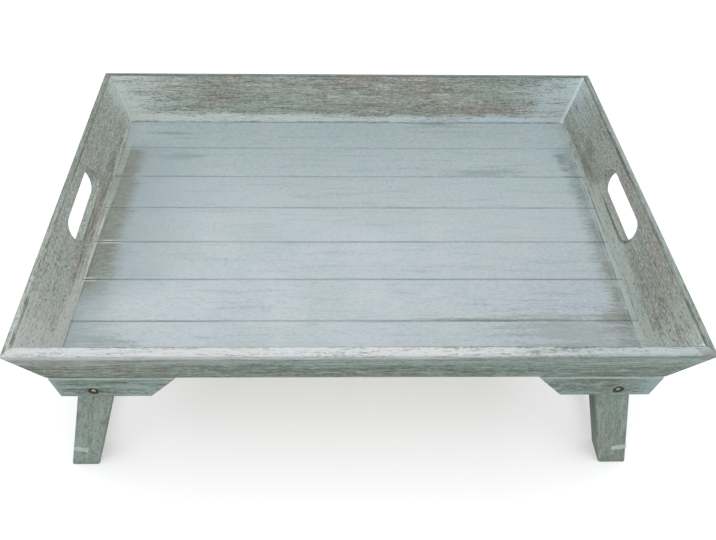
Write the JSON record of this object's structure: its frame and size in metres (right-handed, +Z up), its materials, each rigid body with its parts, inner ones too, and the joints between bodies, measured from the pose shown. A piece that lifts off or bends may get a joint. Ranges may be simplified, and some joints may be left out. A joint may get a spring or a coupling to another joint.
{
  "type": "tray table",
  "caption": "Wooden bed tray with slanted mitred walls, oblong hand slots, a grooved plank-look floor and splayed leg frames that fold flat underneath.",
  "frame": {"origin": "on the ground, under the middle of the tray", "axes": "+X to the right along the tray's length, +Y to the back, +Z up, seen from the long front side"},
  "size_m": [0.5292, 0.3492, 0.2196],
  "materials": {
    "whitewashed_wood": "grey whitewashed wood, matt, with worn edges",
    "painted_floor": "pale blue-grey matt paint, worn at the edges",
    "plated_steel": "dull zinc plating"
  },
  "bodies": {
    "tray": {"front_wall": "whitewashed_wood", "back_wall": "whitewashed_wood", "left_wall": "whitewashed_wood", "right_wall": "whitewashed_wood", "floor_panel": "painted_floor", "bracket_front_left": "whitewashed_wood", "bracket_front_right": "whitewashed_wood", "bracket_back_left": "whitewashed_wood", "bracket_back_right": "whitewashed_wood", "pivot_bolts": "plated_steel", "spacer_washers": "plated_steel", "nut_washers": "plated_steel", "lock_nuts": "plated_steel", "corner_brads": "plated_steel", "floor_staples": "plated_steel"},
    "left_leg_frame": {"leg_front_left": "whitewashed_wood", "leg_back_left": "whitewashed_wood", "stretcher_left": "whitewashed_wood"},
    "right_leg_frame": {"leg_front_right": "whitewashed_wood", "leg_back_right": "whitewashed_wood", "stretcher_right": "whitewashed_wood"}
  },
  "joints": [
    {"name": "left_leg_fold", "type": "hinge", "parent": "tray", "child": "left_leg_frame", "pos_m": [-0.20357, 0, 0.1535], "axis": [0, -1, 0], "range_deg": [0, 108]},
    {"name": "right_leg_fold", "type": "hinge", "parent": "tray", "child": "right_leg_frame", "pos_m": [0.20357, 0, 0.1535], "axis": [0, 1, 0], "range_deg": [0, 108]}
  ]
}
